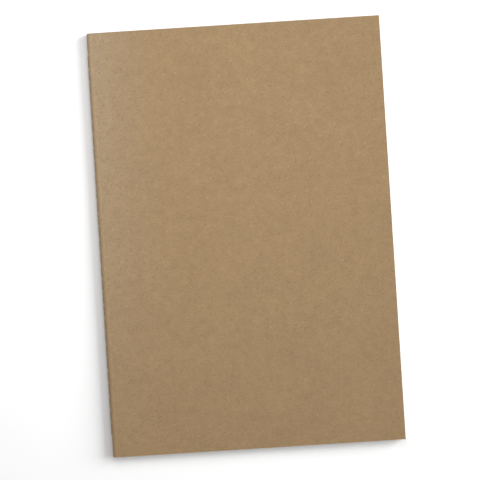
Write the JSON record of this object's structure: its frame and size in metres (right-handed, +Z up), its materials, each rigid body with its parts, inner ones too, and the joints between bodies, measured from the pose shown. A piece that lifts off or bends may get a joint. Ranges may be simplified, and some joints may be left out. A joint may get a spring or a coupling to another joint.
{
  "type": "exercise book",
  "caption": "Slim exercise book: folded paper sheets in a plain kraft card cover, sewn through the fold with thread. The cover and the leaves open on the spine.",
  "frame": {"origin": "on the surface that the closed book lies on, under the middle of its outline", "axes": "+X from the spine to the fore edge, +Y along the spine to the head, +Z up from the back cover to the front cover"},
  "size_m": [0.1454, 0.21, 0.005],
  "materials": {
    "kraft_card": "matte",
    "paper": "matte",
    "thread": "matte"
  },
  "bodies": {
    "back_cover": {"back_cover": "kraft_card"},
    "sewn_spine": {"cover_fold": "kraft_card", "sheet_folds": "paper", "outer_thread": "thread", "inner_thread": "thread"},
    "front_cover": {"front_cover": "kraft_card"},
    "leaf_01": {"leaf_01": "paper"},
    "leaf_02": {"leaf_02": "paper"},
    "leaf_03": {"leaf_03": "paper"},
    "leaf_04": {"leaf_04": "paper"},
    "leaf_05": {"leaf_05": "paper"},
    "leaf_06": {"leaf_06": "paper"},
    "leaf_07": {"leaf_07": "paper"},
    "leaf_08": {"leaf_08": "paper"},
    "leaf_09": {"leaf_09": "paper"},
    "leaf_10": {"leaf_10": "paper"},
    "leaf_11": {"leaf_11": "paper"},
    "leaf_12": {"leaf_12": "paper"},
    "leaf_13": {"leaf_13": "paper"},
    "leaf_14": {"leaf_14": "paper"},
    "leaf_15": {"leaf_15": "paper"},
    "leaf_16": {"leaf_16": "paper"},
    "leaf_17": {"leaf_17": "paper"},
    "leaf_18": {"leaf_18": "paper"},
    "leaf_19": {"leaf_19": "paper"},
    "leaf_20": {"leaf_20": "paper"},
    "leaf_21": {"leaf_21": "paper"},
    "leaf_22": {"leaf_22": "paper"},
    "leaf_23": {"leaf_23": "paper"},
    "leaf_24": {"leaf_24": "paper"},
    "leaf_25": {"leaf_25": "paper"},
    "leaf_26": {"leaf_26": "paper"},
    "leaf_27": {"leaf_27": "paper"},
    "leaf_28": {"leaf_28": "paper"},
    "leaf_29": {"leaf_29": "paper"},
    "leaf_30": {"leaf_30": "paper"},
    "leaf_31": {"leaf_31": "paper"},
    "leaf_32": {"leaf_32": "paper"},
    "leaf_33": {"leaf_33": "paper"},
    "leaf_34": {"leaf_34": "paper"},
    "leaf_35": {"leaf_35": "paper"},
    "leaf_36": {"leaf_36": "paper"},
    "leaf_37": {"leaf_37": "paper"},
    "leaf_38": {"leaf_38": "paper"},
    "leaf_39": {"leaf_39": "paper"},
    "leaf_40": {"leaf_40": "paper"}
  },
  "joints": [
    {"name": "sheet_01_fold", "type": "hinge", "parent": "leaf_40", "child": "leaf_01", "pos_m": [-0.06982, 0, 0.00252], "axis": [0, -1, 0], "range_deg": [0, 179.8], "deforming": ["cover_fold", "sheet_folds"]},
    {"name": "leaf_40_rise", "type": "hinge", "parent": "back_cover", "child": "leaf_40", "pos_m": [-0.06982, 0, 0.00252], "axis": [0, -1, 0], "range_deg": [0, 0.099969]},
    {"name": "leaf_39_rise", "type": "hinge", "parent": "back_cover", "child": "leaf_39", "pos_m": [-0.06982, 0, 0.00252], "axis": [0, -1, 0], "range_deg": [0, 0.10806]},
    {"name": "leaf_38_rise", "type": "hinge", "parent": "back_cover", "child": "leaf_38", "pos_m": [-0.06982, 0, 0.00252], "axis": [0, -1, 0], "range_deg": [0, 0.13215]},
    {"name": "leaf_37_rise", "type": "hinge", "parent": "back_cover", "child": "leaf_37", "pos_m": [-0.06982, 0, 0.00252], "axis": [0, -1, 0], "range_deg": [0, 0.17225]},
    {"name": "leaf_36_rise", "type": "hinge", "parent": "back_cover", "child": "leaf_36", "pos_m": [-0.06982, 0, 0.00252], "axis": [0, -1, 0], "range_deg": [0, 0.22853]},
    {"name": "leaf_35_rise", "type": "hinge", "parent": "back_cover", "child": "leaf_35", "pos_m": [-0.06982, 0, 0.00252], "axis": [0, -1, 0], "range_deg": [0, 0.3008]},
    {"name": "leaf_34_rise", "type": "hinge", "parent": "back_cover", "child": "leaf_34", "pos_m": [-0.06982, 0, 0.00252], "axis": [0, -1, 0], "range_deg": [0, 0.38927]},
    {"name": "leaf_33_rise", "type": "hinge", "parent": "back_cover", "child": "leaf_33", "pos_m": [-0.06982, 0, 0.00252], "axis": [0, -1, 0], "range_deg": [0, 0.49355]},
    {"name": "leaf_32_rise", "type": "hinge", "parent": "back_cover", "child": "leaf_32", "pos_m": [-0.06982, 0, 0.00252], "axis": [0, -1, 0], "range_deg": [0, 0.6142]},
    {"name": "leaf_31_rise", "type": "hinge", "parent": "back_cover", "child": "leaf_31", "pos_m": [-0.06982, 0, 0.00252], "axis": [0, -1, 0], "range_deg": [0, 0.75067]},
    {"name": "leaf_30_rise", "type": "hinge", "parent": "back_cover", "child": "leaf_30", "pos_m": [-0.06982, 0, 0.00252], "axis": [0, -1, 0], "range_deg": [0, 0.90331]},
    {"name": "leaf_29_rise", "type": "hinge", "parent": "back_cover", "child": "leaf_29", "pos_m": [-0.06982, 0, 0.00252], "axis": [0, -1, 0], "range_deg": [0, 1.07]},
    {"name": "leaf_28_rise", "type": "hinge", "parent": "back_cover", "child": "leaf_28", "pos_m": [-0.06982, 0, 0.00252], "axis": [0, -1, 0], "range_deg": [0, 1.26]},
    {"name": "leaf_27_rise", "type": "hinge", "parent": "back_cover", "child": "leaf_27", "pos_m": [-0.06982, 0, 0.00252], "axis": [0, -1, 0], "range_deg": [0, 1.46]},
    {"name": "leaf_26_rise", "type": "hinge", "parent": "back_cover", "child": "leaf_26", "pos_m": [-0.06982, 0, 0.00252], "axis": [0, -1, 0], "range_deg": [0, 1.67]},
    {"name": "leaf_25_rise", "type": "hinge", "parent": "back_cover", "child": "leaf_25", "pos_m": [-0.06982, 0, 0.00252], "axis": [0, -1, 0], "range_deg": [0, 1.91]},
    {"name": "leaf_24_rise", "type": "hinge", "parent": "back_cover", "child": "leaf_24", "pos_m": [-0.06982, 0, 0.00252], "axis": [0, -1, 0], "range_deg": [0, 2.16]},
    {"name": "leaf_23_rise", "type": "hinge", "parent": "back_cover", "child": "leaf_23", "pos_m": [-0.06982, 0, 0.00252], "axis": [0, -1, 0], "range_deg": [0, 2.42]},
    {"name": "leaf_22_rise", "type": "hinge", "parent": "back_cover", "child": "leaf_22", "pos_m": [-0.06982, 0, 0.00252], "axis": [0, -1, 0], "range_deg": [0, 2.7]},
    {"name": "leaf_21_rise", "type": "hinge", "parent": "back_cover", "child": "leaf_21", "pos_m": [-0.06982, 0, 0.00252], "axis": [0, -1, 0], "range_deg": [0, 3]},
    {"name": "sheet_02_fold", "type": "hinge", "parent": "leaf_39", "child": "leaf_02", "pos_m": [-0.06982, 0, 0.00252], "axis": [0, -1, 0], "range_deg": [0, 179.78]},
    {"name": "sheet_03_fold", "type": "hinge", "parent": "leaf_38", "child": "leaf_03", "pos_m": [-0.06982, 0, 0.00252], "axis": [0, -1, 0], "range_deg": [0, 179.74]},
    {"name": "sheet_04_fold", "type": "hinge", "parent": "leaf_37", "child": "leaf_04", "pos_m": [-0.06982, 0, 0.00252], "axis": [0, -1, 0], "range_deg": [0, 179.66]},
    {"name": "sheet_05_fold", "type": "hinge", "parent": "leaf_36", "child": "leaf_05", "pos_m": [-0.06982, 0, 0.00252], "axis": [0, -1, 0], "range_deg": [0, 179.54]},
    {"name": "sheet_06_fold", "type": "hinge", "parent": "leaf_35", "child": "leaf_06", "pos_m": [-0.06982, 0, 0.00252], "axis": [0, -1, 0], "range_deg": [0, 179.4]},
    {"name": "sheet_07_fold", "type": "hinge", "parent": "leaf_34", "child": "leaf_07", "pos_m": [-0.06982, 0, 0.00252], "axis": [0, -1, 0], "range_deg": [0, 179.22]},
    {"name": "sheet_08_fold", "type": "hinge", "parent": "leaf_33", "child": "leaf_08", "pos_m": [-0.06982, 0, 0.00252], "axis": [0, -1, 0], "range_deg": [0, 179.01]},
    {"name": "sheet_09_fold", "type": "hinge", "parent": "leaf_32", "child": "leaf_09", "pos_m": [-0.06982, 0, 0.00252], "axis": [0, -1, 0], "range_deg": [0, 178.77]},
    {"name": "sheet_10_fold", "type": "hinge", "parent": "leaf_31", "child": "leaf_10", "pos_m": [-0.06982, 0, 0.00252], "axis": [0, -1, 0], "range_deg": [0, 178.5]},
    {"name": "sheet_11_fold", "type": "hinge", "parent": "leaf_30", "child": "leaf_11", "pos_m": [-0.06982, 0, 0.00252], "axis": [0, -1, 0], "range_deg": [0, 178.19]},
    {"name": "sheet_12_fold", "type": "hinge", "parent": "leaf_29", "child": "leaf_12", "pos_m": [-0.06982, 0, 0.00252], "axis": [0, -1, 0], "range_deg": [0, 177.86]},
    {"name": "sheet_13_fold", "type": "hinge", "parent": "leaf_28", "child": "leaf_13", "pos_m": [-0.06982, 0, 0.00252], "axis": [0, -1, 0], "range_deg": [0, 177.49]},
    {"name": "sheet_14_fold", "type": "hinge", "parent": "leaf_27", "child": "leaf_14", "pos_m": [-0.06982, 0, 0.00252], "axis": [0, -1, 0], "range_deg": [0, 177.08]},
    {"name": "sheet_15_fold", "type": "hinge", "parent": "leaf_26", "child": "leaf_15", "pos_m": [-0.06982, 0, 0.00252], "axis": [0, -1, 0], "range_deg": [0, 176.65]},
    {"name": "sheet_16_fold", "type": "hinge", "parent": "leaf_25", "child": "leaf_16", "pos_m": [-0.06982, 0, 0.00252], "axis": [0, -1, 0], "range_deg": [0, 176.19]},
    {"name": "sheet_17_fold", "type": "hinge", "parent": "leaf_24", "child": "leaf_17", "pos_m": [-0.06982, 0, 0.00252], "axis": [0, -1, 0], "range_deg": [0, 175.69]},
    {"name": "sheet_18_fold", "type": "hinge", "parent": "leaf_23", "child": "leaf_18", "pos_m": [-0.06982, 0, 0.00252], "axis": [0, -1, 0], "range_deg": [0, 175.16]},
    {"name": "sheet_19_fold", "type": "hinge", "parent": "leaf_22", "child": "leaf_19", "pos_m": [-0.06982, 0, 0.00252], "axis": [0, -1, 0], "range_deg": [0, 174.59]},
    {"name": "sheet_20_fold", "type": "hinge", "parent": "leaf_21", "child": "leaf_20", "pos_m": [-0.06982, 0, 0.00252], "axis": [0, -1, 0], "range_deg": [0, 174]},
    {"name": "spine_turn", "type": "hinge", "parent": "back_cover", "child": "sewn_spine", "pos_m": [-0.06982, 0, 0.00252], "axis": [0, -1, 0], "range_deg": [0, 90]},
    {"name": "front_cover_turn", "type": "hinge", "parent": "leaf_01", "child": "front_cover", "pos_m": [-0.06903, 0, 0.0053], "axis": [0, -1, 0], "range_deg": [0, 179.5]}
  ],
  "couplings": [
    {"joint": "leaf_40_rise", "follows": "sheet_01_fold", "ratio": 0.000556},
    {"joint": "leaf_39_rise", "follows": "sheet_01_fold", "ratio": 0.000601},
    {"joint": "leaf_38_rise", "follows": "sheet_01_fold", "ratio": 0.000735},
    {"joint": "leaf_37_rise", "follows": "sheet_01_fold", "ratio": 0.000958},
    {"joint": "leaf_36_rise", "follows": "sheet_01_fold", "ratio": 0.001271},
    {"joint": "leaf_35_rise", "follows": "sheet_01_fold", "ratio": 0.001673},
    {"joint": "leaf_34_rise", "follows": "sheet_01_fold", "ratio": 0.002165},
    {"joint": "leaf_33_rise", "follows": "sheet_01_fold", "ratio": 0.002745},
    {"joint": "leaf_32_rise", "follows": "sheet_01_fold", "ratio": 0.003416},
    {"joint": "leaf_31_rise", "follows": "sheet_01_fold", "ratio": 0.004175},
    {"joint": "leaf_30_rise", "follows": "sheet_01_fold", "ratio": 0.005024},
    {"joint": "leaf_29_rise", "follows": "sheet_01_fold", "ratio": 0.005962},
    {"joint": "leaf_28_rise", "follows": "sheet_01_fold", "ratio": 0.00699},
    {"joint": "leaf_27_rise", "follows": "sheet_01_fold", "ratio": 0.008107},
    {"joint": "leaf_26_rise", "follows": "sheet_01_fold", "ratio": 0.009313},
    {"joint": "leaf_25_rise", "follows": "sheet_01_fold", "ratio": 0.010609},
    {"joint": "leaf_24_rise", "follows": "sheet_01_fold", "ratio": 0.011994},
    {"joint": "leaf_23_rise", "follows": "sheet_01_fold", "ratio": 0.013468},
    {"joint": "leaf_22_rise", "follows": "sheet_01_fold", "ratio": 0.015032},
    {"joint": "leaf_21_rise", "follows": "sheet_01_fold", "ratio": 0.016685},
    {"joint": "sheet_02_fold", "follows": "sheet_01_fold", "ratio": 0.99991},
    {"joint": "sheet_03_fold", "follows": "sheet_01_fold", "ratio": 0.99964},
    {"joint": "sheet_04_fold", "follows": "sheet_01_fold", "ratio": 0.9992},
    {"joint": "sheet_05_fold", "follows": "sheet_01_fold", "ratio": 0.99857},
    {"joint": "sheet_06_fold", "follows": "sheet_01_fold", "ratio": 0.99777},
    {"joint": "sheet_07_fold", "follows": "sheet_01_fold", "ratio": 0.99678},
    {"joint": "sheet_08_fold", "follows": "sheet_01_fold", "ratio": 0.99562},
    {"joint": "sheet_09_fold", "follows": "sheet_01_fold", "ratio": 0.99428},
    {"joint": "sheet_10_fold", "follows": "sheet_01_fold", "ratio": 0.99276},
    {"joint": "sheet_11_fold", "follows": "sheet_01_fold", "ratio": 0.99106},
    {"joint": "sheet_12_fold", "follows": "sheet_01_fold", "ratio": 0.98919},
    {"joint": "sheet_13_fold", "follows": "sheet_01_fold", "ratio": 0.98713},
    {"joint": "sheet_14_fold", "follows": "sheet_01_fold", "ratio": 0.9849},
    {"joint": "sheet_15_fold", "follows": "sheet_01_fold", "ratio": 0.98249},
    {"joint": "sheet_16_fold", "follows": "sheet_01_fold", "ratio": 0.97989},
    {"joint": "sheet_17_fold", "follows": "sheet_01_fold", "ratio": 0.97712},
    {"joint": "sheet_18_fold", "follows": "sheet_01_fold", "ratio": 0.97418},
    {"joint": "sheet_19_fold", "follows": "sheet_01_fold", "ratio": 0.97105},
    {"joint": "sheet_20_fold", "follows": "sheet_01_fold", "ratio": 0.96774},
    {"joint": "spine_turn", "follows": "sheet_01_fold", "ratio": 0.50056}
  ]
}
